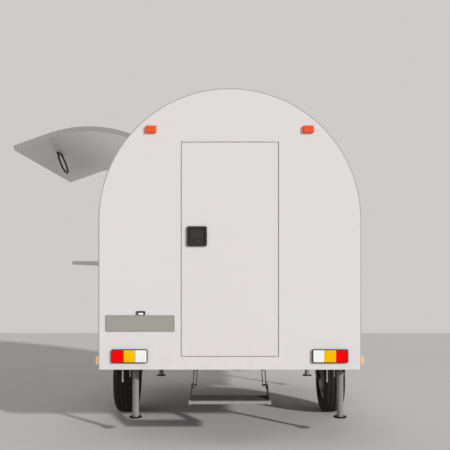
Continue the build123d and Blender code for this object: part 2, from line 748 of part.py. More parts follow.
for name, top, bottom, link_x, pin_end in link_rows:
    links = []
    for index, side in enumerate(sides):
        link = sidelong(link_face(top, bottom, link_width), *sided(side, link_x, link_x + step_plate))
        for pivot in (top, bottom):
            bore_x = (side * link_x, side * (link_x + step_plate))
            link -= rod((bore_x[0], *pivot), (bore_x[1], *pivot), step_pin_radius + pin_play)
        links.append(link)
        hanger_mid = side * (hanger_x + step_plate / 2)
        hangers[index] += rod((hanger_mid, *top), (side * pin_end, *top), step_pin_radius)
        tread += rod((side * step_half_width, *bottom), (side * (link_x - step_pin_end), *bottom), step_pin_radius)
    pieces[name] = links
pieces["step_hangers"] = hangers
pieces["step_tread"] = tread
pieces["step_pad"] = block(-plate_in, plate_in, tread_rear, step_front, pad_bottom, step_top)

# Lamps and number plate on the rear face, markers on the sides and the front
tail_centre_x = half - tail_inset - tail_width / 2
tail_centre_z = body_bottom + tail_rise
lens_order = ("clear", "amber", "red")
lens_groups = {"red": [], "amber": [], "clear": []}
lens_pitch = (tail_width - tail_rim * 2) / len(lens_order)
lens_face = Rectangle(lens_pitch - lens_gap, tail_height - tail_rim * 2)
marker_radius = half - marker_inset
marker_x = marker_radius * sin(radians(marker_angle))
marker_z = spring + marker_radius * cos(radians(marker_angle))
side_marker_z = body_bottom + side_marker_rise
side_marker_face = RectangleRounded(side_marker_length, side_marker_height, side_marker_corner)
tail_housings = []
for side in sides:
    outline = Pos(side * tail_centre_x, tail_centre_z) * RectangleRounded(tail_width, tail_height, tail_corner)
    tail_housings.append(upright(outline, -tail_proud, 0))
    for index, colour in enumerate(lens_order):
        lens_x = side * (tail_centre_x + (index - 1) * lens_pitch)
        lens = upright(Pos(lens_x, tail_centre_z) * lens_face, -tail_proud - lens_proud, -tail_proud)
        lens_groups[colour].append(lens)
    outline = Pos(side * marker_x, marker_z) * RectangleRounded(marker_width, marker_height, marker_corner)
    lens_groups["red"].append(upright(outline, -marker_proud, 0))
    lens_groups["clear"].append(upright(outline, body_length, body_length + marker_proud))
    for y in (side_marker_from_end, body_length - side_marker_from_end):
        outline = Pos(y, side_marker_z) * side_marker_face
        lens_groups["amber"].append(sidelong(outline, *sided(side, half, half + side_marker_proud)))
pieces["tail_lamp_housings"] = tail_housings
for colour, lenses in lens_groups.items():
    pieces[colour + "_lenses"] = lenses

plate_x = plate_inset + plate_width / 2 - half
plate_z = body_bottom + plate_rise
plate_face = Pos(plate_x, plate_z) * RectangleRounded(plate_width, plate_height, plate_corner)
number_plate = upright(plate_face, -plate_thickness, 0)
pieces["number_plate"] = number_plate

lamp_radius = plate_lamp_width / 2
lamp_foot = plate_z + plate_height / 2 - plate_lamp_overlap
lamp_straight = plate_lamp_height - lamp_radius
lamp_face = Pos(0, lamp_straight) * Circle(lamp_radius) + Pos(0, lamp_straight / 2) * Rectangle(
    plate_lamp_width, lamp_straight)
lamp_face -= Pos(0, -plate_lamp_width) * Rectangle(plate_lamp_width * 2, plate_lamp_width * 2)
plate_lamp = upright(Pos(plate_x + plate_lamp_aside, lamp_foot) * lamp_face, -plate_lamp_depth, 0)
pieces["plate_lamp"] = plate_lamp - number_plate

# Jockey wheel: clamp on the drawbar, tube with crank, and a fork that swivels in the tube
beam_edge = drawbar_nose_x + across + jockey_setback * tan(draw_turn)
jockey_x = max(beam_edge, nose_half) + jockey_tube_radius + jockey_beam_gap
hub_y = jockey_y - jockey_trail
crown_bottom = jockey_wheel_radius * 2 + jockey_crown_gap
crown_top = crown_bottom + jockey_crown_height
jockey_tube_bottom = crown_top + jockey_stem_shown
jockey_tube_top = drawbar_top + jockey_tube_rise
stem_top = jockey_tube_bottom + jockey_stem_inside
clamp_top = drawbar_top - clamp_drop
clamp_bottom = clamp_top - clamp_height


def on_stem(z0, z1, radius):
    return rod((jockey_x, jockey_y, z0), (jockey_x, jockey_y, z1), radius)


clamp = on_stem(clamp_bottom, clamp_top, jockey_tube_radius + clamp_wall)
clamp += block(nose_half, jockey_x, jockey_y - clamp_half, jockey_y + clamp_half, clamp_bottom, clamp_top)
clamp -= on_stem(clamp_bottom, clamp_top, jockey_tube_radius)
pieces["jockey_clamp"] = clamp - drawbar

tube = on_stem(jockey_tube_bottom, jockey_tube_top, jockey_tube_radius)
tube -= on_stem(jockey_tube_bottom, stem_top + jockey_stem_room, jockey_stem_radius + pin_play)
pieces["jockey_tube"] = tube

crank_z = jockey_tube_top + crank_rise
grip_x = jockey_x + crank_reach
crank = on_stem(jockey_tube_top, crank_z, crank_radius)
crank += Pos(jockey_x, jockey_y, crank_z) * Sphere(crank_radius)
crank += rod((jockey_x, jockey_y, crank_z), (grip_x, jockey_y, crank_z), crank_radius)
crank += rod((grip_x, jockey_y, crank_z - crank_radius), (grip_x, jockey_y, crank_z + grip_height), grip_radius)
pieces["jockey_crank"] = crank

fork_in = jockey_wheel_width / 2 + jockey_side_gap
fork_out = fork_in + jockey_cheek
pin_half = fork_out + jockey_pin_end
fork = on_stem(crown_bottom, stem_top, jockey_stem_radius)
fork += block(jockey_x - fork_out, jockey_x + fork_out, hub_y - jockey_cheek_half, jockey_y + jockey_cheek_half,
              crown_bottom, crown_top)
for side in sides:
    cheek_x = sorted((jockey_x + side * fork_in, jockey_x + side * fork_out))
    fork += block(*cheek_x, hub_y - jockey_cheek_half, hub_y + jockey_cheek_half,
                  jockey_wheel_radius - jockey_cheek_half, crown_bottom)
fork += rod((jockey_x - pin_half, hub_y, jockey_wheel_radius), (jockey_x + pin_half, hub_y, jockey_wheel_radius),
            jockey_pin_radius)
pieces["jockey_fork"] = fork

roller_half = jockey_wheel_width / 2
roller_rim = jockey_wheel_radius - jockey_rim_thickness
roller_side = (
    # radius, distance from the middle, out along one face of the roller
    (jockey_pin_radius + pin_play, roller_half), (jockey_hub_radius, roller_half),
    (jockey_hub_radius, jockey_web_half), (roller_rim, jockey_web_half), (roller_rim, roller_half),
    (jockey_wheel_radius - jockey_tread_round, roller_half), (jockey_wheel_radius, roller_half - jockey_tread_round),
)
roller_profile = tuple((radius, -out) for radius, out in roller_side) + tuple(reversed(roller_side))
pieces["jockey_wheel"] = turned(roller_profile, 1, jockey_x, hub_y, jockey_wheel_radius)

# The finished trailer stands on z = 0 with the middle of its bounding box over the origin
solids = {}
for name, shape in pieces.items():
    group = shape if isinstance(shape, list) else [shape]
    solids[name] = [solid for one in group for solid in one.solids()]
whole = Compound([solid for group in solids.values() for solid in group]).bounding_box()
shift_x = -(whole.min.X + whole.max.X) / 2
shift_y = -(whole.min.Y + whole.max.Y) / 2

if __name__ == "__main__":
    os.makedirs("parts", exist_ok=True)
    for name, group in solids.items():
        moved = [Pos(shift_x, shift_y, 0) * solid for solid in group]
        export_step(moved[0] if len(moved) == 1 else Compound(moved), "parts/" + name + ".step")
    print("shift", shift_x, shift_y, "size", whole.size)
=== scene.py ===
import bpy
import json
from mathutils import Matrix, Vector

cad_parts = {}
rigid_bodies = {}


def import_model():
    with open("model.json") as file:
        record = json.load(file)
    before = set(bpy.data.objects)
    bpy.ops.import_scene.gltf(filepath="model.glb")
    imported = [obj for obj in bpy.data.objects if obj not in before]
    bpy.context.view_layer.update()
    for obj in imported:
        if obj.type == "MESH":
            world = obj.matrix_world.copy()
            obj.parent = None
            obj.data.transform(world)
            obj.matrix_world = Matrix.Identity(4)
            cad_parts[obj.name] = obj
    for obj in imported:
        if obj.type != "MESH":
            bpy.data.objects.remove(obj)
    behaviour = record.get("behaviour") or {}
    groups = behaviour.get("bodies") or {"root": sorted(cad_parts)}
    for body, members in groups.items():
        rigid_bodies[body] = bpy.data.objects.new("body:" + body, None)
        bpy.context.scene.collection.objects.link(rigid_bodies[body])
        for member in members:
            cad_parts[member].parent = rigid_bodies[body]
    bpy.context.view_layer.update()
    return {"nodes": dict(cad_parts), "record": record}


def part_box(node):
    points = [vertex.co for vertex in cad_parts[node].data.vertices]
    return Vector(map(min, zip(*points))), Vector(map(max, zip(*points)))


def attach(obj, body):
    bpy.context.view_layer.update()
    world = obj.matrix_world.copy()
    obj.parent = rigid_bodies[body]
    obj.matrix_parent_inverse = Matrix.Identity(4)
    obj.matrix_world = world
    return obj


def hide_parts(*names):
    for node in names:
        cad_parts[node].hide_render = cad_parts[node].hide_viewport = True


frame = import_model()

import json
from math import atan2, cos, pi, radians, sin

import bpy
from mathutils import Matrix, Vector

record = frame["record"]
pivots = {joint["name"]: Vector(joint["pos_m"]) for joint in record["behaviour"]["joints"]}
leftRight = (-1, 1)

# The body's own measures, read from its walls and roof
wallLow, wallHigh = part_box("rear_wall")
sideLow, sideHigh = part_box("right_side_wall")
midX = (wallLow.x + wallHigh.x) / 2  # the middle plane
rearY = wallLow.y  # the rear face
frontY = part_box("front_wall")[1].y - rearY  # the front face, from the rear one
halfWidth = sideHigh.x - midX
wallThick = sideHigh.x - sideLow.x
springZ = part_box("roof_shell")[1].z - halfWidth  # where the round roof starts


def at(x, y, z):  # x from the middle plane, y from the rear face, z from the ground
    return Vector((midX + x, rearY + y, z))


# Hands: the few moves every piece is made with

handSet = {"mergeGap": 0.00002, "smoothAngle": 32}


def freshStart():
    if bpy.context.mode != "OBJECT":
        bpy.ops.object.mode_set(mode="OBJECT")
    bpy.ops.object.select_all(action="DESELECT")


def hold(obj):
    freshStart()
    obj.select_set(True)
    bpy.context.view_layer.objects.active = obj


def takeNew(name):
    obj = bpy.context.active_object
    obj.name = name
    obj.data.name = name
    return obj


def modify(obj, kind, **settings):
    hold(obj)
    step = obj.modifiers.new(kind, kind)
    for key, value in settings.items():
        setattr(step, key, value)
    bpy.ops.object.modifier_apply(modifier=step.name)
    return obj


def pickFaces(obj, test):  # leaves edit mode on with the faces that pass selected
    hold(obj)
    bpy.ops.object.mode_set(mode="EDIT")
    bpy.ops.mesh.select_mode(type="FACE")
    bpy.ops.mesh.select_all(action="DESELECT")
    bpy.ops.object.mode_set(mode="OBJECT")
    for face in obj.data.polygons:
        face.select = test(face.center, face.normal)
    bpy.ops.object.mode_set(mode="EDIT")


def extrude(x, y, z):
    bpy.ops.mesh.extrude_region_move(TRANSFORM_OT_translate={"value": (x, y, z)})


def settle(obj):  # place goes into the mesh, doubles merge, faces point out
    hold(obj)
    bpy.ops.object.transform_apply(location=True, rotation=True, scale=True)
    bpy.ops.object.mode_set(mode="EDIT")
    bpy.ops.mesh.select_all(action="SELECT")
    bpy.ops.mesh.remove_doubles(threshold=handSet["mergeGap"])
    bpy.ops.mesh.normals_make_consistent(inside=False)
    bpy.ops.object.mode_set(mode="OBJECT")
    bpy.ops.object.shade_smooth_by_angle(angle=radians(handSet["smoothAngle"]))


def softBlock(name, low, high, edge, segments=2):
    freshStart()
    middle = (Vector(low) + Vector(high)) / 2
    bpy.ops.mesh.primitive_cube_add(size=1, location=middle)
    obj = takeNew(name)
    obj.scale = Vector(high) - Vector(low)
    bpy.ops.object.transform_apply(location=False, rotation=False, scale=True)
    return modify(obj, "BEVEL", width=edge, segments=segments, limit_method="ANGLE")


def latheUp(name, rings, segments, capped=True):  # rings of (radius, height), drawn up along z
    freshStart()
    bpy.ops.mesh.primitive_circle_add(vertices=segments, radius=rings[0][0], location=(0, 0, 0))
    obj = takeNew(name)
    bpy.ops.object.mode_set(mode="EDIT")
    bpy.ops.mesh.select_mode(type="VERT")
    bpy.ops.mesh.select_all(action="SELECT")
    bpy.ops.transform.translate(value=(0, 0, rings[0][1]))
    if capped:
        bpy.ops.mesh.edge_face_add()
    for (lastRadius, lastHeight), (radius, height) in zip(rings, rings[1:]):
        extrude(0, 0, height - lastHeight)
        share = radius / lastRadius
        bpy.ops.transform.resize(value=(share, share, 1), center_override=(0, 0, height))
    if capped:
        bpy.ops.mesh.edge_face_add()
    bpy.ops.object.mode_set(mode="OBJECT")
    return obj


def bothSides(side, crown=()):  # closed rings from one side's (radius, distance from the middle)
    lower = [(radius, -out) for radius, out in side]
    upper = [(radius, out) for radius, out in reversed(side)]
    return lower + list(crown) + upper + lower[:1]


def joinAs(name, objects):
    hold(objects[0])
    for obj in objects:
        obj.select_set(True)
    if len(objects) > 1:
        bpy.ops.object.join()
    return takeNew(name)


def copyTo(name, original, places):  # a copy with its own mesh at each place, joined; the original goes
    copies = []
    for place in places:
        copy = original.copy()
        copy.data = original.data.copy()
        bpy.context.scene.collection.objects.link(copy)
        copy.matrix_world = place @ original.matrix_world
        copies.append(copy)
    bpy.data.objects.remove(original)
    bpy.context.view_layer.update()
    return joinAs(name, copies)


def facing(point, direction):  # a place whose z looks along a direction
    turn = Vector(direction).to_track_quat("Z", "Y").to_matrix().to_4x4()
    return Matrix.Translation(point) @ turn


def finishPiece(obj, body, slot, *nodes, material=None):  # wears the slot's finish unless given another
    settle(obj)
    obj.data.materials.clear()
    obj.data.materials.append(material or finishes[slot])
    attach(obj, body)
    if nodes:
        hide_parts(*nodes)


# Shader maths: a wire is a socket that takes part in sums

def feed(tree, socket, value):
    if isinstance(value, Wire):
        tree.links.new(value.socket, socket)
    elif socket.type == "RGBA" and len(value) == 3:
        socket.default_value = (*value, 1)
    else:
        socket.default_value = value


class Wire:
    def __init__(self, tree, socket):
        self.tree = tree
        self.socket = socket

    def sum(self, operation, first, second):
        node = self.tree.nodes.new("ShaderNodeMath")
        node.operation = operation
        feed(self.tree, node.inputs[0], first)
        feed(self.tree, node.inputs[1], second)
        return Wire(self.tree, node.outputs[0])

    def __add__(self, other):
        return self.sum("ADD", self, other)

    def __radd__(self, other):
        return self.sum("ADD", other, self)

    def __sub__(self, other):
        return self.sum("SUBTRACT", self, other)

    def __rsub__(self, other):
        return self.sum("SUBTRACT", other, self)

    def __mul__(self, other):
        return self.sum("MULTIPLY", self, other)

    def __rmul__(self, other):
        return self.sum("MULTIPLY", other, self)

    def __lt__(self, other):
        return self.sum("LESS_THAN", self, other)

    def __gt__(self, other):
        return self.sum("GREATER_THAN", self, other)


class Finish:  # one material with its nodes, on the object's own coordinates
    def __init__(self, name):
        self.material = bpy.data.materials.new(name)
        self.material.use_nodes = True
        self.tree = self.material.node_tree
        self.shader = self.tree.nodes["Principled BSDF"]
        self.place = self.node("ShaderNodeTexCoord", output="Object")

    def node(self, kind, settings=None, sockets=None, output=0):
        node = self.tree.nodes.new(kind)
        for key, value in (settings or {}).items():
            setattr(node, key, value)
        for key, value in (sockets or {}).items():
            feed(self.tree, node.inputs[key], value)
        return Wire(self.tree, node.outputs[output])

    def noise(self, scale, detail, stretch=None):
        place = self.place
        if stretch:
            place = self.node("ShaderNodeMapping", None, {"Vector": place, "Scale": stretch})
        return self.node("ShaderNodeTexNoise", None, {"Vector": place, "Scale": scale, "Detail": detail})

    def cells(self, scale, output="Distance"):
        return self.node("ShaderNodeTexVoronoi", None, {"Vector": self.place, "Scale": scale}, output)

    def flakes(self, scale):  # one even value in each cell
        return self.node("ShaderNodeSeparateColor", None, {"Color": self.cells(scale, "Color")}, "Red")

    def axis(self, letter):
        return self.node("ShaderNodeSeparateXYZ", None, {"Vector": self.place}, letter)

    def ramp(self, value, low, high, out=(0.0, 1.0)):
        spread = {"Value": value, "From Min": low, "From Max": high, "To Min": out[0], "To Max": out[1]}
        return self.node("ShaderNodeMapRange", {"clamp": True}, spread)

    def blend(self, factor, first, second):
        return self.node("ShaderNodeMix", {"data_type": "RGBA"}, {0: factor, 6: first, 7: second}, 2)

    def bump(self, height, distance, strength):
        sockets = {"Height": height, "Distance": distance, "Strength": strength}
        return self.node("ShaderNodeBump", None, sockets)

    def done(self, sockets):
        for key, value in sockets.items():
            feed(self.tree, self.shader.inputs[key], value)
        return self.material


# Finishes

def panelSkin():  # gloss white skin of the sandwich panels, with road dust low down
    m = Finish("panelSkin")
    cloud = m.noise(1.3, 4)
    peel = m.noise(260, 2)
    splash = (1 - m.ramp(m.axis("Z"), 0.55, 0.80)) * m.ramp(m.noise(9, 5), 0.45, 0.75)
    white = m.blend(cloud, (0.735, 0.711, 0.704), (0.715, 0.690, 0.683))
    return m.done({
        "Base Color": m.blend(splash * 0.35, white, (0.62, 0.59, 0.57)),
        "Roughness": m.ramp(cloud, 0.3, 0.7, (0.30, 0.42)) + splash * 0.2,
        "Coat Weight": 0.15, "Coat Roughness": 0.12, "Normal": m.bump(peel, 0.0002, 0.35),
    })


def brushedMetal(name, light, dark, grain, roughness, metallic):  # the grain runs along its small axis
    m = Finish(name)
    lines = m.noise(1.0, 3, grain)
    wipe = m.noise(4.0, 4)
    return m.done({
        "Base Color": m.blend(m.ramp(lines, 0.35, 0.65), dark, light),
        "Roughness": m.ramp(wipe, 0.3, 0.7, roughness),
        "Metallic": metallic, "Normal": m.bump(lines, 0.0001, 0.3),
    })


def galvanisedSteel():  # spangled zinc with dull runs
    m = Finish("galvanisedSteel")
    flake = m.flakes(55)
    cloud = m.noise(6, 4)
    spangle = m.blend(flake, (0.36, 0.37, 0.38), (0.50, 0.51, 0.52))
    return m.done({
        "Base Color": m.blend(m.ramp(cloud, 0.5, 0.75) * 0.6, spangle, (0.34, 0.34, 0.34)),
        "Roughness": 0.38 + flake * 0.16 + cloud * 0.1,
        "Metallic": 0.85, "Normal": m.bump(cloud, 0.0004, 0.4),
    })


def powderCoat(name, colour, worn, roughness):  # sprayed coat with faint orange peel and rubbed spots
    m = Finish(name)
    peel = m.noise(420, 2)
    rub = m.ramp(m.noise(24, 6), 0.62, 0.78)
    tone = m.noise(7, 3)
    base = m.blend(tone, colour, tuple(c * 0.88 for c in colour))
    return m.done({
        "Base Color": m.blend(rub * 0.5, base, worn), "Roughness": roughness + tone * 0.12,
        "Normal": m.bump(peel, 0.00025, 0.5),
    })


def mouldedPlastic(name, colour, roughness):  # fine leather-like moulding grain
    m = Finish(name)
    grain = m.cells(900)
    fade = m.noise(11, 4)
    pale = tuple(c * 1.2 + 0.006 for c in colour)
    return m.done({
        "Base Color": m.blend(fade, colour, pale), "Roughness": roughness + fade * 0.12,
        "Specular IOR Level": 0.25, "Normal": m.bump(grain, 0.0002, 0.5),
    })


def sealRubber():
    m = Finish("sealRubber")
    dust = m.ramp(m.noise(30, 5), 0.5, 0.8)
    return m.done({
        "Base Color": m.blend(dust, (0.018, 0.018, 0.018), (0.06, 0.058, 0.055)),
        "Roughness": 0.75 + dust * 0.15, "Normal": m.bump(m.noise(500, 2), 0.0002, 0.4),
    })


def tyreRubber():  # black, with patches of road dust
    m = Finish("tyreRubber")
    dust = m.ramp(m.noise(18, 6), 0.42, 0.75)
    scuff = m.noise(160, 3)
    return m.done({
        "Base Color": m.blend(dust * 0.5, (0.0240, 0.0232, 0.0222), (0.052, 0.049, 0.046)),
        "Roughness": 0.74 + dust * 0.18, "Specular IOR Level": 0.2, "Normal": m.bump(scuff, 0.0005, 0.4),
    })


def floorCoat():  # grey studded anti-slip coat
    m = Finish("floorCoat")
    studs = 1 - m.ramp(m.cells(70), 0.15, 0.35)
    wear = m.noise(3, 5)
    return m.done({
        "Base Color": m.blend(wear, (0.20, 0.20, 0.21), (0.28, 0.28, 0.285)),
        "Roughness": 0.55 + wear * 0.2, "Normal": m.bump(studs, 0.001, 0.6),
    })


def lampLens(name, deep, bright, glow=0.0):  # moulded lens over a reflector, paler where it is thin
    m = Finish(name)
    prism = m.cells(240)
    colour = m.blend(m.ramp(m.noise(20, 2), 0.3, 0.7), deep, bright)
    return m.done({
        "Base Color": colour, "Roughness": 0.16 + prism * 0.12,
        "Specular IOR Level": 0.02, "Coat Weight": 0.02, "Normal": m.bump(prism, 0.0004, 0.25),
        "Emission Color": colour, "Emission Strength": glow,
    })


def plateBlank():  # satin grey blank plate
    m = Finish("plateBlank")
    grain = m.noise(700, 2)
    cloud = m.noise(5, 4)
    return m.done({
        "Base Color": m.blend(cloud, (0.354, 0.342, 0.308), (0.324, 0.313, 0.282)),
        "Roughness": 0.45 + cloud * 0.12, "Normal": m.bump(grain, 0.0001, 0.4),
    })


def legTube():  # dull zinc tube over a black foot plate
    footTop = 0.1485
    m = Finish("legTube")
    drawn = m.noise(1.0, 3, (300, 300, 9))
    cloud = m.noise(9, 4)
    tube = m.blend(m.ramp(drawn, 0.3, 0.7), (0.225, 0.220, 0.217), (0.270, 0.265, 0.261))
    return m.done({
        "Base Color": m.blend(m.axis("Z") < footTop, tube, (0.012, 0.012, 0.012)),
        "Roughness": 0.55 + cloud * 0.15, "Specular IOR Level": 0.2, "Normal": m.bump(drawn, 0.0002, 0.3),
    })


def stepCoat():  # pale bar along the outer edge, dark behind it
    barStart = rearY - 0.0365
    m = Finish("stepCoat")
    rub = m.ramp(m.noise(26, 6), 0.55, 0.75)
    pale = m.blend(rub, (0.288, 0.277, 0.274), (0.35, 0.34, 0.335))
    dark = m.blend(rub, (0.040, 0.039, 0.038), (0.10, 0.098, 0.095))
    return m.done({
        "Base Color": m.blend(m.axis("Y") < barStart, dark, pale), "Roughness": 0.42 + rub * 0.12,
        "Normal": m.bump(m.noise(420, 2), 0.00025, 0.5),
    })


def rimPaint():  # silver paint with fine flake and brake dust
    m = Finish("rimPaint")
    dust = m.ramp(m.noise(14, 5), 0.45, 0.8)
    silver = m.blend(m.flakes(1400), (0.52, 0.52, 0.525), (0.60, 0.60, 0.605))
    return m.done({
        "Base Color": m.blend(dust * 0.5, silver, (0.30, 0.285, 0.265)),
        "Roughness": 0.34 + dust * 0.25, "Metallic": 0.30, "Coat Weight": 0.2,
    })


alongTrailer = (220, 2.2, 220)  # grain that runs the length of the trailer
noGrain = (90, 90, 90)
finishes = {
    "body_white": panelSkin(),
    "edge_trim": powderCoat("edgeTrim", (0.37, 0.365, 0.36), (0.45, 0.45, 0.45), 0.38),
    "floor_grey": floorCoat(),
    "galvanised": galvanisedSteel(),
    "black_steel": powderCoat("blackCoat", (0.030, 0.029, 0.028), (0.09, 0.088, 0.085), 0.40),
    "black_plastic": mouldedPlastic("blackPlastic", (0.028, 0.025, 0.024), 0.50),
    "lip_grey": powderCoat("lipPaint", (0.62, 0.615, 0.605), (0.50, 0.49, 0.48), 0.36),
    "seal_rubber": sealRubber(),
    "zinc": brushedMetal(
        "brightZinc", (0.70, 0.70, 0.69), (0.58, 0.58, 0.57), noGrain, (0.24, 0.40), 0.8),
    "hinge_metal": brushedMetal(
        "hingeMetal", (0.60, 0.60, 0.60), (0.50, 0.50, 0.50), alongTrailer, (0.28, 0.42), 0.9),
    "shelf_steel": brushedMetal(
        "shelfSteel", (0.64, 0.64, 0.625), (0.58, 0.58, 0.57), alongTrailer, (0.38, 0.50), 0.1),
    "lens_red": lampLens("redLens", (0.90, 0.001, 0.002), (1.0, 0.002, 0.003)),
    "lens_amber": lampLens("amberLens", (0.95, 0.50, 0.001), (1.0, 0.58, 0.002)),
    "lens_clear": lampLens("clearLens", (0.84, 0.86, 0.83), (0.93, 0.94, 0.91)),
    "plate_grey": plateBlank(),
    "step_steel": stepCoat(),
    "tread_rubber": mouldedPlastic("treadRubber", (0.044, 0.043, 0.042), 0.70),
    "leg_grey": legTube(),
    "tyre": tyreRubber(),
    "rim_silver": rimPaint(),
}
markerOrange = lampLens("markerOrange", (0.92, 0.082, 0.026), (1.0, 0.120, 0.037))
sideAmber = lampLens("sideAmber", (0.29, 0.168, 0.076), (0.33, 0.192, 0.090), 2.0)
linkSteel = powderCoat("linkSteel", (0.115, 0.112, 0.110), (0.26, 0.255, 0.25), 0.36)
castGrey = powderCoat("castGrey", (0.30, 0.297, 0.293), (0.36, 0.355, 0.35), 0.50)
ownFinish = {  # nodes that look other than their slot
    "step_links_rear": linkSteel,
    "step_links_front": linkSteel,
    "hub_left": castGrey,
    "hub_right": castGrey,
    "trailing_arms": finishes["black_steel"],
}
for part in record["subparts"]:
    material = ownFinish.get(part["node"], finishes[part["material_slot"]])
    for slot in frame["nodes"][part["node"]].material_slots:
        slot.material = material
print("finishes:", len(bpy.data.materials), "on", len(record["subparts"]), "nodes")

# Fasteners

fastener = {
    "sink": 0.001, "rivetRadius": 0.0045, "rivetHeight": 0.0022, "rivetSides": 10,
    "boltRadius": 0.0095, "boltHeight": 0.007, "washerShare": 1.45, "washerSides": 18,
}


def domeRivet():
    s = fastener
    r, height = s["rivetRadius"], s["rivetHeight"]
    rings = [(r, -s["sink"]), (r, 0.0002), (r * 0.82, height * 0.62), (r * 0.4, height)]
    return latheUp("domeRivet", rings, s["rivetSides"])


def hexBolt(size=1.0):
    s = fastener
    r, height = s["boltRadius"] * size, s["boltHeight"] * size
    rim = r * s["washerShare"]
    washer = latheUp("washer", [(rim, -s["sink"]), (rim, 0.0014), (r * 1.1, 0.0018)], s["washerSides"])
    head = latheUp("head", [(r, 0.0016), (r, height * 0.85), (r * 0.86, height)], 6)
    return joinAs("hexBolt", [washer, head])


# Road wheels: tyres with ribs, grooves and cut shoulder blocks, nuts and valves

tyreShape = {
    "radius": 0.315, "segments": 216, "crownDrop": 0.0022,
    "grooves": (-0.036, 0.0, 0.036), "grooveHalf": 0.0042, "grooveDepth": 0.0075, "grooveLean": 0.001,
    "cutEvery": 6, "cutDepth": 0.006, "cutFrom": 0.0405, "cutTo": 0.074, "cutRadius": 0.306,
    # radius, distance from the middle
    "side": (
        (0.186, 0.0615), (0.200, 0.0640), (0.214, 0.0770), (0.219, 0.0800), (0.222, 0.0835),
        (0.234, 0.0876), (0.2355, 0.0890), (0.2405, 0.0905), (0.242, 0.0897), (0.256, 0.0912),
        (0.268, 0.0915), (0.281, 0.0896), (0.2825, 0.0908), (0.287, 0.0898), (0.2885, 0.0880),
        (0.303, 0.0790), (0.3095, 0.0700),
    ),
}


def tyreRings():
    s = tyreShape
    outermost = s["grooves"][-1]
    crown = []
    for middle in s["grooves"]:
        low, high = middle - s["grooveHalf"], middle + s["grooveHalf"]
        top = s["radius"] - s["crownDrop"] * (abs(middle) / outermost)
        bottom = top - s["grooveDepth"]
        crown += [(top, low), (bottom, low + s["grooveLean"])]
        crown += [(bottom, high - s["grooveLean"]), (top, high)]
    return bothSides(s["side"], crown)


def roadTyre(side, word):
    s = tyreShape
    tyre = latheUp("tyreTread_" + word, tyreRings(), s["segments"], capped=False)
    turn = 2 * pi / s["segments"]

    def shoulderCut(centre, normal):
        ring = int((atan2(centre.y, centre.x) + pi) / turn)
        inBlock = s["cutFrom"] < abs(centre.z) < s["cutTo"] and centre.xy.length > s["cutRadius"]
        lean = 0 if centre.z > 0 else s["cutEvery"] // 2
        return inBlock and (ring + lean) % s["cutEvery"] == 0

    settle(tyre)
    pickFaces(tyre, shoulderCut)
    bpy.ops.mesh.extrude_region_shrink_fatten(TRANSFORM_OT_shrink_fatten={"value": -s["cutDepth"]})
    bpy.ops.object.mode_set(mode="OBJECT")
    low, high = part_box("tyre_" + word)
    tyre.matrix_world = Matrix.Translation((low + high) / 2) @ Matrix.Rotation(side * pi / 2, 4, "Y")
    finishPiece(tyre, "wheel_" + word, "tyre", "tyre_" + word)


wheelTrim = {
    "nuts": 5, "nutCircle": 0.0535, "nutOut": 0.033, "nutSize": 1.05,
    "valveCircle": 0.158, "valveOut": 0.030, "valveLean": 0.15,
    # radius, height
    "stem": ((0.0055, -0.002), (0.0055, 0.016), (0.0040, 0.017), (0.0040, 0.026), (0.0030, 0.0275)),
}


def roadWheelTrim(side, word):
    s = wheelTrim
    low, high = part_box("tyre_" + word)
    centre = (low + high) / 2
    places = []
    for index in range(s["nuts"]):
        turn = 2 * pi * index / s["nuts"] + pi / 2
        step = Vector((0, cos(turn), sin(turn))) * s["nutCircle"]
        places.append(facing(centre + step + Vector((side * s["nutOut"], 0, 0)), (side, 0, 0)))
    nuts = copyTo("wheelNuts_" + word, hexBolt(s["nutSize"]), places)
    finishPiece(nuts, "wheel_" + word, "zinc")
    valve = latheUp("valveStem_" + word, s["stem"], 14)
    spot = centre + Vector((side * s["valveOut"], 0, -s["valveCircle"]))
    valve.matrix_world = facing(spot, (side, 0, s["valveLean"]))
    finishPiece(valve, "wheel_" + word, "seal_rubber")


for side, word in zip(leftRight, ("left", "right")):
    roadTyre(side, word)
    roadWheelTrim(side, word)
print("road wheels done")

# Lamps: ribbed lenses that stand for the plain ones

lampSet = {
    "tailWidth": 0.274, "tailHeight": 0.103, "tailX": 0.762, "tailZ": 0.6535, "tailFront": 0.016,
    "tailRim": 0.006, "tailEdge": 0.0025, "tailRibs": 11, "lensProud": 0.006, "lensGap": 0.002,
    "markerX": 0.597, "markerZ": 2.376, "markerSize": (0.082, 0.054, 0.025), "markerEdge": 0.007,
    "sideY": 0.092, "sideZ": 0.611, "sideSize": (0.100, 0.055, 0.030), "sideEdge": 0.003,
    "markerRibs": 7, "ribProud": 0.0012, "ribInset": 0.14, "faceSlack": 0.0002,
}


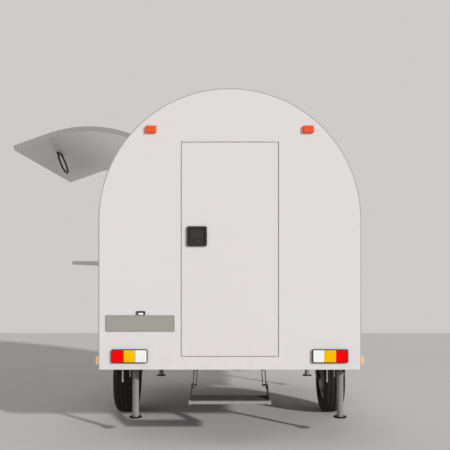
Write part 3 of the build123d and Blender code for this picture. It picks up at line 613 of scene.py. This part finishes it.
def ribbedLens(width, height, depth, ribs, edge):  # faces -y, its back on the plane y = 0
    s = lampSet
    freshStart()
    bpy.ops.mesh.primitive_grid_add(x_subdivisions=ribs, y_subdivisions=1, size=1, rotation=(pi / 2, 0, 0))
    lens = takeNew("ribbedLens")
    bpy.ops.object.transform_apply(rotation=True)
    lens.scale = (width, 1, height)
    bpy.ops.object.transform_apply(scale=True)
    bpy.ops.object.mode_set(mode="EDIT")
    bpy.ops.mesh.select_all(action="SELECT")
    extrude(0, s["ribProud"] - depth, 0)
    bpy.ops.object.mode_set(mode="OBJECT")
    modify(lens, "BEVEL", width=edge, segments=3, limit_method="ANGLE", angle_limit=radians(60))
    pitch = width / ribs
    front = s["ribProud"] - depth + s["faceSlack"]

    def everyOther(centre, normal):
        column = int((centre.x + width / 2) / pitch)
        inside = abs(centre.x) < width / 2 - edge and abs(centre.z) < height / 2 - edge
        return inside and centre.y < front and normal.y < -0.9 and column % 2 == 1

    pickFaces(lens, everyOther)
    bpy.ops.mesh.inset(thickness=pitch * s["ribInset"], depth=0)
    extrude(0, -s["ribProud"], 0)
    bpy.ops.object.mode_set(mode="OBJECT")
    return lens


def turnedTo(point, degreesRound):
    return Matrix.Translation(point) @ Matrix.Rotation(radians(degreesRound), 4, "Z")


def tailLamps():
    s = lampSet
    pitch = (s["tailWidth"] - 2 * s["tailRim"]) / 3
    size = (pitch - s["lensGap"], s["tailHeight"] - 2 * s["tailRim"], s["lensProud"])
    for order, word in ((1, "red"), (0, "amber"), (-1, "clear")):
        x = s["tailX"] + order * pitch
        places = [turnedTo(at(side * x, -s["tailFront"], s["tailZ"]), 0) for side in leftRight]
        tail = copyTo(word + "TailLens", ribbedLens(*size, s["tailRibs"], s["tailEdge"]), places)
        finishPiece(tail, "trailer", "lens_" + word, word + "_lenses")


def markerLamps():
    s = lampSet
    markers = (
        # name, slot, finish, size, edge, places
        ("rearMarkerLamps", "lens_red", markerOrange, s["markerSize"], s["markerEdge"],
         [turnedTo(at(side * s["markerX"], 0, s["markerZ"]), 0) for side in leftRight]),
        ("frontMarkerLamps", "lens_clear", finishes["lens_clear"], s["markerSize"], s["markerEdge"],
         [turnedTo(at(side * s["markerX"], frontY, s["markerZ"]), 180) for side in leftRight]),
        ("sideMarkerLamps", "lens_amber", sideAmber, s["sideSize"], s["sideEdge"],
         [turnedTo(at(side * halfWidth, y, s["sideZ"]), side * 90)
          for side in leftRight for y in (s["sideY"], frontY - s["sideY"])]),
    )
    for name, slot, material, size, edge, places in markers:
        lamp = copyTo(name, ribbedLens(*size, s["markerRibs"], edge), places)
        finishPiece(lamp, "trailer", slot, material=material)


tailLamps()
markerLamps()
print("lamps done")

# Number plate: raised border, screws and the lamp above it

plateTrim = {
    "border": 0.006, "proud": 0.0025, "edge": 0.003, "sink": 0.001, "skin": 0.0004, "screwIn": 0.035,
    "hoodDepth": 0.012, "hoodEdge": 0.0055, "hoodRim": 0.0035, "hoodSink": 0.0015,
    "lensRadius": 0.0078, "lensStretch": 2.8, "lensRise": 0.0105,
    "lensHeights": (-0.001, 0.002, 0.0032), "lensCrown": 0.8,
}


def plateBorder():
    s = plateTrim
    low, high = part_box("number_plate")
    outer = (low.x, low.y - s["proud"], low.z)
    border = softBlock("plateBorder", outer, (high.x, low.y + s["sink"], high.z), s["edge"])
    pickFaces(border, lambda centre, normal: normal.y < -0.99)
    bpy.ops.mesh.inset(thickness=s["border"], depth=0)
    extrude(0, s["proud"] - s["skin"], 0)
    bpy.ops.object.mode_set(mode="OBJECT")
    finishPiece(border, "trailer", "plate_grey")
    middleZ = (low.z + high.z) / 2
    ends = (low.x + s["screwIn"], high.x - s["screwIn"])
    places = [facing(Vector((x, low.y - s["skin"], middleZ)), (0, -1, 0)) for x in ends]
    finishPiece(copyTo("plateScrews", domeRivet(), places), "trailer", "plate_grey")


def plateLamp():  # shallow hood that ends at the plate's top edge, with a wide lens
    s = plateTrim
    low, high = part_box("plate_lamp")
    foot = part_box("number_plate")[1].z
    front = high.y - s["hoodDepth"]
    hood = softBlock("plateLampHood", (low.x, front, foot), high, s["hoodEdge"], 4)
    pickFaces(hood, lambda centre, normal: normal.y < -0.99)
    bpy.ops.mesh.inset(thickness=s["hoodRim"], depth=0)
    extrude(0, s["hoodSink"], 0)
    bpy.ops.object.mode_set(mode="OBJECT")
    finishPiece(hood, "trailer", "black_plastic", "plate_lamp")
    r = s["lensRadius"]
    back, shoulder, crown = s["lensHeights"]
    lens = latheUp("plateLampLens", [(r, back), (r, shoulder), (r * s["lensCrown"], crown)], 32)
    hold(lens)
    lens.scale = (s["lensStretch"], 1, 1)
    bpy.ops.object.transform_apply(location=False, rotation=False, scale=True)
    spot = Vector(((low.x + high.x) / 2, front + s["hoodSink"], foot + s["lensRise"]))
    lens.matrix_world = facing(spot, (0, -1, 0))
    finishPiece(lens, "trailer", "lens_clear")


plateBorder()
plateLamp()
print("plate done")

# Serving side: hatch edging, loop handle and rivet rows along the long hinges

hatchSet = {
    "openTurn": 70.5, "hingeTurn": 45.7, "topTurn": 46.1, "start": 0.342, "end": 2.183, "foot": 1.389,
    "edging": 0.0018, "footEdge": 0.0005, "edgingRivets": 9, "arcSteps": 20,
    "rivetPitch": 0.095, "rivetInset": 0.024, "leaf": 0.0025, "shelfLeafIn": 0.005, "shelfRivetDrop": 0.0145,
}
hatchPivot = Matrix.Translation(pivots["hatch_hinge"])
hatchOpens = hatchPivot @ Matrix.Rotation(radians(hatchSet["openTurn"]), 4, "Y") @ hatchPivot.inverted()
edgingMetal = brushedMetal(
    "hatchEdging", (0.325, 0.325, 0.322), (0.275, 0.275, 0.272), alongTrailer, (0.40, 0.52), 0.1)


def hatchEdging():  # drawn on the shut hatch, then swung open with it
    s = hatchSet
    middleX = wallThick / 2 - halfWidth
    lowest = s["foot"] - s["edging"]
    strips = []
    for name, low in (("rear", s["start"] - s["edging"]), ("front", s["end"])):
        freshStart()
        bpy.ops.mesh.primitive_plane_add(size=1, location=at(middleX, low + s["edging"] / 2, lowest))
        strip = takeNew(name + "Edging")
        strip.scale = (wallThick, s["edging"], 1)
        bpy.ops.object.transform_apply(location=True, rotation=True, scale=True)
        bpy.ops.object.mode_set(mode="EDIT")
        bpy.ops.mesh.select_mode(type="VERT")
        bpy.ops.mesh.select_all(action="SELECT")
        extrude(0, 0, springZ - lowest)
        arc = radians(s["topTurn"] - 90)
        bpy.ops.mesh.spin(steps=s["arcSteps"], angle=arc, center=at(0, 0, springZ), axis=(0, 1, 0))
        bpy.ops.object.mode_set(mode="OBJECT")
        strips.append(strip)
    low = at(-halfWidth, s["start"], lowest)
    high = at(wallThick - halfWidth, s["end"], s["foot"])
    strips.append(softBlock("footEdging", low, high, s["footEdge"], 1))
    edging = joinAs("hatchEdging", strips)
    edging.matrix_world = hatchOpens @ edging.matrix_world
    finishPiece(edging, "hatch", "edge_trim", material=edgingMetal)
    places = []
    for step in range(s["edgingRivets"]):
        y = s["start"] + (s["end"] - s["start"]) * (step + 0.5) / s["edgingRivets"]
        places.append(hatchOpens @ facing(at(middleX, y, lowest), (0, 0, -1)))
    finishPiece(copyTo("edgingRivets", domeRivet(), places), "hatch", "edge_trim", material=edgingMetal)


loopSet = {
    "fromEdge": 0.231, "radius": 0.0085, "baseReach": 0.020, "baseHalf": 0.011, "baseHeight": 0.006,
    "baseEdge": 0.002,
    # distance from the hatch's inner face, half width of the loop there
    "bows": ((0.001, 0.064), (0.035, 0.092), (0.080, 0.108), (0.130, 0.102), (0.165, 0.072)),
}


def handleLoop():  # bowed loop on a narrow base, drawn on the shut hatch, then swung open with it
    s = loopSet
    low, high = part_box("hatch_handle")
    middleY = (low.y + high.y) / 2 - rearY
    foot = at(wallThick - halfWidth, middleY, hatchSet["foot"] + s["fromEdge"])
    path = [(-half, away) for away, half in s["bows"]] + [(half, away) for away, half in reversed(s["bows"])]
    freshStart()
    bpy.ops.curve.primitive_bezier_curve_add(location=foot)
    curve = bpy.context.active_object
    spline = curve.data.splines[0]
    spline.bezier_points.add(len(path) - len(spline.bezier_points))
    for point, (along, away) in zip(spline.bezier_points, path):
        point.co = (away, along, 0)
        point.handle_left_type = "AUTO"
        point.handle_right_type = "AUTO"
    curve.data.bevel_depth = s["radius"]
    curve.data.bevel_resolution = 3
    curve.data.resolution_u = 8
    curve.data.use_fill_caps = True
    bpy.ops.object.convert(target="MESH")
    bar = takeNew("loopBar")
    corner = Vector((0, s["bows"][0][1] + s["baseReach"], s["baseHalf"]))
    top = foot + corner + Vector((s["baseHeight"], 0, 0))
    loop = joinAs("handleLoop", [bar, softBlock("loopBase", foot - corner, top, s["baseEdge"])])
    loop.matrix_world = hatchOpens @ loop.matrix_world
    finishPiece(loop, "hatch", "black_steel", "hatch_handle")


def rivetRow(name, node, body, point, normal, turn=Matrix()):
    low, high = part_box(node)
    count = int((high.y - low.y) / hatchSet["rivetPitch"])
    places = []
    for step in range(count):
        y = low.y + (high.y - low.y) * (step + 0.5) / count
        places.append(turn @ facing(Vector((point.x, y, point.z)), normal))
    finishPiece(copyTo(name, domeRivet(), places), body, "hinge_metal")


def hingeRows():
    s = hatchSet
    turn = radians(s["hingeTurn"])
    outward = Vector((-sin(turn), 0, cos(turn)))
    downhill = Vector((-cos(turn), 0, -sin(turn)))
    knuckle = at(0, 0, springZ) + outward * (halfWidth + s["leaf"])
    inset = downhill * s["rivetInset"]
    rivetRow("roofHingeRivets", "hatch_hinge_fixed", "trailer", knuckle - inset, outward)
    rivetRow("hatchHingeRivets", "hatch_hinge_leaf", "hatch", knuckle + inset, outward, hatchOpens)
    wallLeaf = pivots["shelf_hinge"] + Vector((s["shelfLeafIn"] - s["leaf"], 0, -s["shelfRivetDrop"]))
    rivetRow("shelfHingeRivets", "shelf_hinge_fixed", "trailer", wallLeaf, (-1, 0, 0))


hatchEdging()
handleLoop()
hingeRows()
print("serving side done")

# Rear door: lining of the opening, bulb seal on the stop frame, latch screws and lock barrel

doorSet = {
    "half": 0.374, "sill": 0.646, "head": 2.285, "sealIn": 0.013, "sealRadius": 0.0034, "sealY": 0.0455,
    "liner": 0.0025, "linerDepth": (0.0008, 0.039), "linerLap": 0.0003, "linerEdge": 0.0006,
    "latchX": -0.2495, "latchZ": 1.564, "latchFace": -0.014, "cupFloor": -0.004, "screwAway": 0.0675,
    "barrelDrop": 0.040, "barrelRadius": 0.0105, "barrelProud": 0.006,
    "slotInset": 0.55, "slotShape": (2.1, 0.5, 1), "slotDepth": 0.004,
}


def doorLiner():  # thin lining, which narrows the gap that shows
    s = doorSet
    half, sill, head, thick = s["half"], s["sill"], s["head"], s["liner"]
    near, far = s["linerDepth"]
    reach = half - thick + s["linerLap"]  # the cross strips run between the upright ones
    strips = (
        # name, low corner, high corner
        ("leftLiner", (-half, near, sill), (thick - half, far, head)),
        ("rightLiner", (half - thick, near, sill), (half, far, head)),
        ("topLiner", (-reach, near, head - thick), (reach, far, head)),
        ("sillLiner", (-reach, near, sill), (reach, far, sill + thick)),
    )
    pieces = [softBlock(name, at(*low), at(*high), s["linerEdge"], 1) for name, low, high in strips]
    finishPiece(joinAs("doorLiner", pieces), "trailer", "body_white")


def doorSeal():
    s = doorSet
    r = s["sealRadius"]
    side, top = s["half"] - s["sealIn"], s["head"] - s["sealIn"]
    runs = (
        # start, direction, length
        (at(-side, s["sealY"], s["sill"]), (0, 0, 1), top - s["sill"]),
        (at(side, s["sealY"], s["sill"]), (0, 0, 1), top - s["sill"]),
        (at(-side, s["sealY"], top), (1, 0, 0), side * 2),
    )
    bulbs = []
    for start, along, length in runs:
        rings = [(r * 0.7, -r), (r, -r * 0.4), (r, length + r * 0.4), (r * 0.7, length + r)]
        bulb = latheUp("bulb", rings, 14)
        bulb.matrix_world = facing(start, along)
        bulbs.append(bulb)
    finishPiece(joinAs("doorSeal", bulbs), "trailer", "seal_rubber")


def latchTrim():
    s = doorSet
    centre = at(s["latchX"], 0, s["latchZ"])
    away = s["screwAway"]
    corners = [Vector((x * away, s["latchFace"], z * away)) for x in leftRight for z in leftRight]
    screws = copyTo("latchScrews", domeRivet(), [facing(centre + corner, (0, -1, 0)) for corner in corners])
    r, proud = s["barrelRadius"], s["barrelProud"]
    rings = [(r * 1.3, -0.001), (r * 1.3, 0.0015), (r, 0.002), (r, proud), (r * 0.9, proud + 0.0008)]
    barrel = latheUp("lockBarrel", rings, 28)
    pickFaces(barrel, lambda middle, normal: normal.z > 0.99 and middle.z > proud)
    bpy.ops.mesh.inset(thickness=r * s["slotInset"], depth=0)
    bpy.ops.transform.resize(value=s["slotShape"], center_override=(0, 0, proud))
    extrude(0, 0, -s["slotDepth"])
    bpy.ops.object.mode_set(mode="OBJECT")
    barrel.matrix_world = facing(centre + Vector((0, s["cupFloor"], -s["barrelDrop"])), (0, -1, 0))
    finishPiece(joinAs("latchTrim", [barrel, screws]), "door", "black_steel")


doorLiner()
doorSeal()
latchTrim()
print("door done")

# Entry step: ribbed pad and pivot heads

stepSet = {
    "ribs": 14, "ribWidth": 0.0075, "ribHeight": 0.0018, "edge": 0.0006, "ribMargin": 0.006,
    "plateX": 0.300, "linkPitch": 0.090, "headSize": 0.9,
}


def stepPad():
    s = stepSet
    low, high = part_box("step_pad")
    base = softBlock("padBase", low, (high.x, high.y, high.z - s["ribHeight"]), s["edge"], 1)
    pitch = (high.y - low.y) / s["ribs"]
    ribY = low.y + (pitch - s["ribWidth"]) / 2
    start = (low.x + s["ribMargin"], ribY, high.z - s["ribHeight"] - s["edge"])
    rib = softBlock("padRib", start, (high.x - s["ribMargin"], ribY + s["ribWidth"], high.z), s["edge"], 1)
    modify(rib, "ARRAY", count=s["ribs"], use_relative_offset=False, use_constant_offset=True,
           constant_offset_displace=(0, pitch, 0))
    finishPiece(joinAs("stepPadRibs", [base, rib]), "step", "tread_rubber", "step_pad")


def stepHeads():
    s = stepSet
    lowPivot = pivots["step_tread_pivot"]
    places = []
    for side in leftRight:
        for ahead in (0, s["linkPitch"]):
            places.append(facing(lowPivot + Vector((side * s["plateX"], ahead, 0)), (side, 0, 0)))
    finishPiece(copyTo("stepPivotHeads", hexBolt(s["headSize"]), places), "step", "zinc")


stepPad()
stepHeads()
print("step done")

# Corner legs: collar, pull pin, pin holes and pivot heads

legSet = {
    "radius": 0.0255, "cheekOut": 0.0335,
    "collarZ": 0.478, "collarHeight": 0.020, "collarOut": 0.0018, "collarTuck": 0.001, "collarEdge": 0.002,
    "pinRadius": 0.0035, "pinLength": 0.018, "pinFoot": 1.6, "pinKnob": 1.7,
    "holeZ": (0.190, 0.235, 0.280, 0.325), "holeRadius": 0.0045, "holeSink": 0.0006,
}
legRows = (
    # pivot joint, body, way the fittings face along the trailer
    ("leg_rear_left_swing", "leg_rl", -1),
    ("leg_rear_right_swing", "leg_rr", -1),
    ("leg_front_left_swing", "leg_fl", 1),
    ("leg_front_right_swing", "leg_fr", 1),
)


def legFittings(joint, body, face):
    s = legSet
    foot = Vector((pivots[joint].x, pivots[joint].y, 0))
    r, out = s["radius"], s["radius"] + s["collarOut"]
    low, high = s["collarZ"], s["collarZ"] + s["collarHeight"]
    tucked, edge = r - s["collarTuck"], s["collarEdge"]
    collar = latheUp("collar", [(tucked, low), (out, low + edge), (out, high - edge), (tucked, high)], 36)
    collar.matrix_world = Matrix.Translation(foot)
    p, length = s["pinRadius"], s["pinLength"]
    pinFoot, knob = p * s["pinFoot"], p * s["pinKnob"]
    rings = [(pinFoot, -0.002), (pinFoot, 0.004), (p, 0.005),
             (p, length - 0.008), (knob, length - 0.007), (knob, length)]
    pin = latheUp("pullPin", rings, 18)
    pin.matrix_world = facing(foot + Vector((0, face * out, (low + high) / 2)), (0, face, 0))
    finishPiece(joinAs("legCollar_" + body, [collar, pin]), body, "leg_grey")
    h = s["holeRadius"]
    hole = latheUp("pinHole", [(h, -0.002), (h, 0.0006), (h * 0.8, 0.0007), (h * 0.7, -0.0008)], 16)
    places = [facing(foot + Vector((0, face * (r - s["holeSink"]), z)), (0, face, 0)) for z in s["holeZ"]]
    finishPiece(copyTo("legPinHoles_" + body, hole, places), body, "black_steel")


def legHeads():
    out = Vector((legSet["cheekOut"], 0, 0))
    places = [facing(pivots[joint] + out, (1, 0, 0)) for joint, body, face in legRows]
    finishPiece(copyTo("legPivotHeads", hexBolt(), places), "trailer", "zinc")


for row in legRows:
    legFittings(*row)
legHeads()
print("legs done")

# Drawbar gear: coupling bolts, jockey roller, crank grip and clamp handle

towSet = {
    "boltX": 0.028, "boltY": (3.500, 3.560, 3.640), "plateTop": 0.560, "jockeyY": 3.520,
    "gripX": 0.25695, "gripLow": 0.777, "gripRadius": 0.0158, "gripLength": 0.098, "gripRings": 6,
    "ringHalf": 0.003, "ringFloor": 0.0012, "ringDepth": 0.002,
    "clampX": 0.170, "clampZ": 0.515, "screwRadius": 0.006, "screwLength": 0.046,
    "barHalf": 0.036, "barRadius": 0.0045, "barKnob": 1.5, "barIn": 0.007, "barLean": 0.5,
    # radius, distance from the middle
    "rollerSide": (
        (0.0085, 0.028), (0.026, 0.028), (0.028, 0.026), (0.030, 0.018), (0.070, 0.017),
        (0.0725, 0.027), (0.090, 0.028), (0.097, 0.0245), (0.0995, 0.019), (0.100, 0.0125),
        (0.0965, 0.0110), (0.0965, 0.0085), (0.100, 0.0070),
    ),
}


def couplingBolts():
    s = towSet
    spots = [at(side * s["boltX"], y, s["plateTop"]) for side in leftRight for y in s["boltY"]]
    places = [facing(spot, (0, 0, 1)) for spot in spots]
    finishPiece(copyTo("couplingBolts", hexBolt(), places), "trailer", "zinc")


def jockeyRoller():
    roller = latheUp("jockeyRoller", bothSides(towSet["rollerSide"]), 72, capped=False)
    roller.matrix_world = facing(pivots["jockey_roller_spin"], (1, 0, 0))
    finishPiece(roller, "jockey_roller", "tread_rubber", "jockey_wheel")


def crankGrip():
    s = towSet
    r, length = s["gripRadius"], s["gripLength"]
    floor, half, halfFloor = r - s["ringDepth"], s["ringHalf"], s["ringFloor"]
    rings = [(r * 0.85, 0), (r, half)]
    for step in range(1, s["gripRings"]):
        z = step * length / s["gripRings"]
        rings += [(r, z - half), (floor, z - halfFloor), (floor, z + halfFloor), (r, z + half)]
    rings += [(r, length - 0.004), (r * 0.8, length)]
    grip = latheUp("crankGrip", rings, 32)
    grip.matrix_world = Matrix.Translation(at(s["gripX"], s["jockeyY"], s["gripLow"]))
    finishPiece(grip, "trailer", "black_plastic")


def clampHandle():
    s = towSet
    r, length = s["screwRadius"], s["screwLength"]
    rings = [(r * 1.6, -0.004), (r * 1.6, 0.005), (r, 0.006), (r, length), (r * 0.8, length + 0.002)]
    screw = latheUp("clampScrew", rings, 20)
    screw.matrix_world = facing(at(s["clampX"], s["jockeyY"], s["clampZ"]), (1, 0, 0))
    b, half = s["barRadius"], s["barHalf"]
    knob = b * s["barKnob"]
    rings = [(b, -half), (knob, 0.003 - half), (knob, 0.009 - half), (b, 0.011 - half),
             (b, half - 0.011), (knob, half - 0.009), (knob, half - 0.003), (b, half)]
    bar = latheUp("clampBar", rings, 18)
    spot = at(s["clampX"] + length - s["barIn"], s["jockeyY"], s["clampZ"])
    bar.matrix_world = facing(spot, (0, s["barLean"], 1))
    finishPiece(joinAs("clampHandle", [screw, bar]), "trailer", "zinc")


couplingBolts()
jockeyRoller()
crankGrip()
clampHandle()
print("drawbar gear done")

# Axle and arches: pad bolts and lip rivets

axleSet = {
    "railX": 0.650, "beamY": 1.1946, "beamLow": 0.3906, "boltX": 0.016, "boltY": 0.040, "boltSize": 0.8,
    "lipRadius": 0.404, "lipProud": 0.046, "lipFrom": 40, "lipTo": 140, "lipRivets": 11,
}


def axleBolts():
    s = axleSet
    places = []
    for side in leftRight:
        for x in leftRight:
            for y in leftRight:
                spot = at(side * s["railX"] + x * s["boltX"], s["beamY"] + y * s["boltY"], s["beamLow"])
                places.append(facing(spot, (0, 0, -1)))
    finishPiece(copyTo("axlePadBolts", hexBolt(s["boltSize"]), places), "trailer", "zinc")


def lipRivets():
    s = axleSet
    hub = pivots["wheel_left_spin"]
    places = []
    for side in leftRight:
        x = midX + side * (halfWidth + s["lipProud"])
        for step in range(s["lipRivets"]):
            turn = radians(s["lipFrom"] + (s["lipTo"] - s["lipFrom"]) * step / (s["lipRivets"] - 1))
            spot = Vector((x, hub.y + cos(turn) * s["lipRadius"], hub.z + sin(turn) * s["lipRadius"]))
            places.append(facing(spot, (side, 0, 0)))
    finishPiece(copyTo("archLipRivets", domeRivet(), places), "trailer", "lip_grey")


axleBolts()
lipRivets()
print("axle and arches done")

# Stage: pale floor, low sun, a weak fill from below the hatch and a pale surround

stageSet = {
    "floorAhead": 8.35, "floorReach": 40.0, "floorColour": (0.609, 0.588, 0.582),
    "backdrop": (0.617, 0.597, 0.591), "sky": (1.0, 0.995, 0.985), "skyStrength": 0.445,
    "sunAt": (4, -4, 5), "sunTravel": (-1.83, 1.75, -1.0), "sunStrength": 2.72, "sunAngle": 3.0,
    "fillAt": (-3.2, 1.2, 1.70), "fillAim": (-1.2, 1.2, 2.35), "fillSize": (3.0, 0.5), "fillPower": 33.0,
}


def floorFinish():
    m = Finish("studioFloor")
    cloud = m.noise(0.6, 4)
    grit = m.noise(60, 3)
    base = stageSet["floorColour"]
    return m.done({
        "Base Color": m.blend(cloud, base, tuple(c * 0.97 for c in base)),
        "Roughness": 0.8 + cloud * 0.1, "Normal": m.bump(grit, 0.0002, 0.2),
    })


def layFloor():
    reach = stageSet["floorReach"]
    farY = rearY + stageSet["floorAhead"]
    freshStart()
    bpy.ops.mesh.primitive_plane_add(size=2, location=(midX, farY - reach, 0))
    floor = takeNew("studioFloor")
    floor.scale = (reach, reach, 1)
    bpy.ops.object.transform_apply(location=True, rotation=True, scale=True)
    floor.data.materials.append(floorFinish())
    return floor


def addLight(name, kind, place, travel):
    bpy.ops.object.light_add(type=kind, location=place)
    light = bpy.context.active_object
    light.name = name
    light.rotation_euler = Vector(travel).to_track_quat("-Z", "Y").to_euler()
    return light


def hangLights(floor):
    s = stageSet
    sun = addLight("lowSun", "SUN", s["sunAt"], s["sunTravel"])
    sun.data.energy = s["sunStrength"]
    sun.data.angle = radians(s["sunAngle"])
    fillAt = at(*s["fillAt"])
    fill = addLight("lowFill", "AREA", fillAt, at(*s["fillAim"]) - fillAt)
    fill.data.shape = "RECTANGLE"
    fill.data.size, fill.data.size_y = s["fillSize"]
    fill.data.energy = s["fillPower"]
    fill.visible_camera = False
    fill.visible_glossy = False
    lit = bpy.data.collections.new("fillLights")  # the fill reaches the trailer and not the floor
    for obj in bpy.context.scene.objects:
        if obj.type == "MESH" and obj != floor:
            lit.objects.link(obj)
    fill.light_linking.receiver_collection = lit


def buildSurround():  # plain light, and the backdrop's own colour where the camera or a gloss looks
    world = bpy.data.worlds.new("surround")
    bpy.context.scene.world = world
    world.use_nodes = True
    tree = world.node_tree
    light = tree.nodes["Background"]
    feed(tree, light.inputs["Color"], stageSet["sky"])
    feed(tree, light.inputs["Strength"], stageSet["skyStrength"])
    seen = tree.nodes.new("ShaderNodeBackground")
    feed(tree, seen.inputs["Color"], stageSet["backdrop"])
    path = tree.nodes.new("ShaderNodeLightPath")
    looks = Wire(tree, path.outputs["Is Camera Ray"])
    for ray in ("Is Glossy Ray", "Is Transmission Ray"):
        looks = looks.sum("MAXIMUM", looks, Wire(tree, path.outputs[ray]))
    mix = tree.nodes.new("ShaderNodeMixShader")
    feed(tree, mix.inputs[0], looks)
    tree.links.new(light.outputs[0], mix.inputs[1])
    tree.links.new(seen.outputs[0], mix.inputs[2])
    tree.links.new(mix.outputs[0], tree.nodes["World Output"].inputs["Surface"])


cameraSet = {
    "x": -0.0365, "back": 4.753, "height": 1.30,
    "lens": 50, "sensor": 36, "shiftUp": 46 / 450, "clipEnd": 200,
}


def placeCamera():
    s = cameraSet
    freshStart()
    bpy.ops.object.camera_add(location=at(s["x"], -s["back"], s["height"]), rotation=(pi / 2, 0, 0))
    camera = bpy.context.active_object
    camera.name = "rearCamera"
    camera.data.lens = s["lens"]
    camera.data.sensor_width = s["sensor"]
    camera.data.shift_y = s["shiftUp"]
    camera.data.clip_end = s["clipEnd"]
    bpy.context.scene.camera = camera


hangLights(layFloor())
buildSurround()
placeCamera()
bpy.context.scene.view_settings.view_transform = "Standard"
freshStart()
print("stage done")
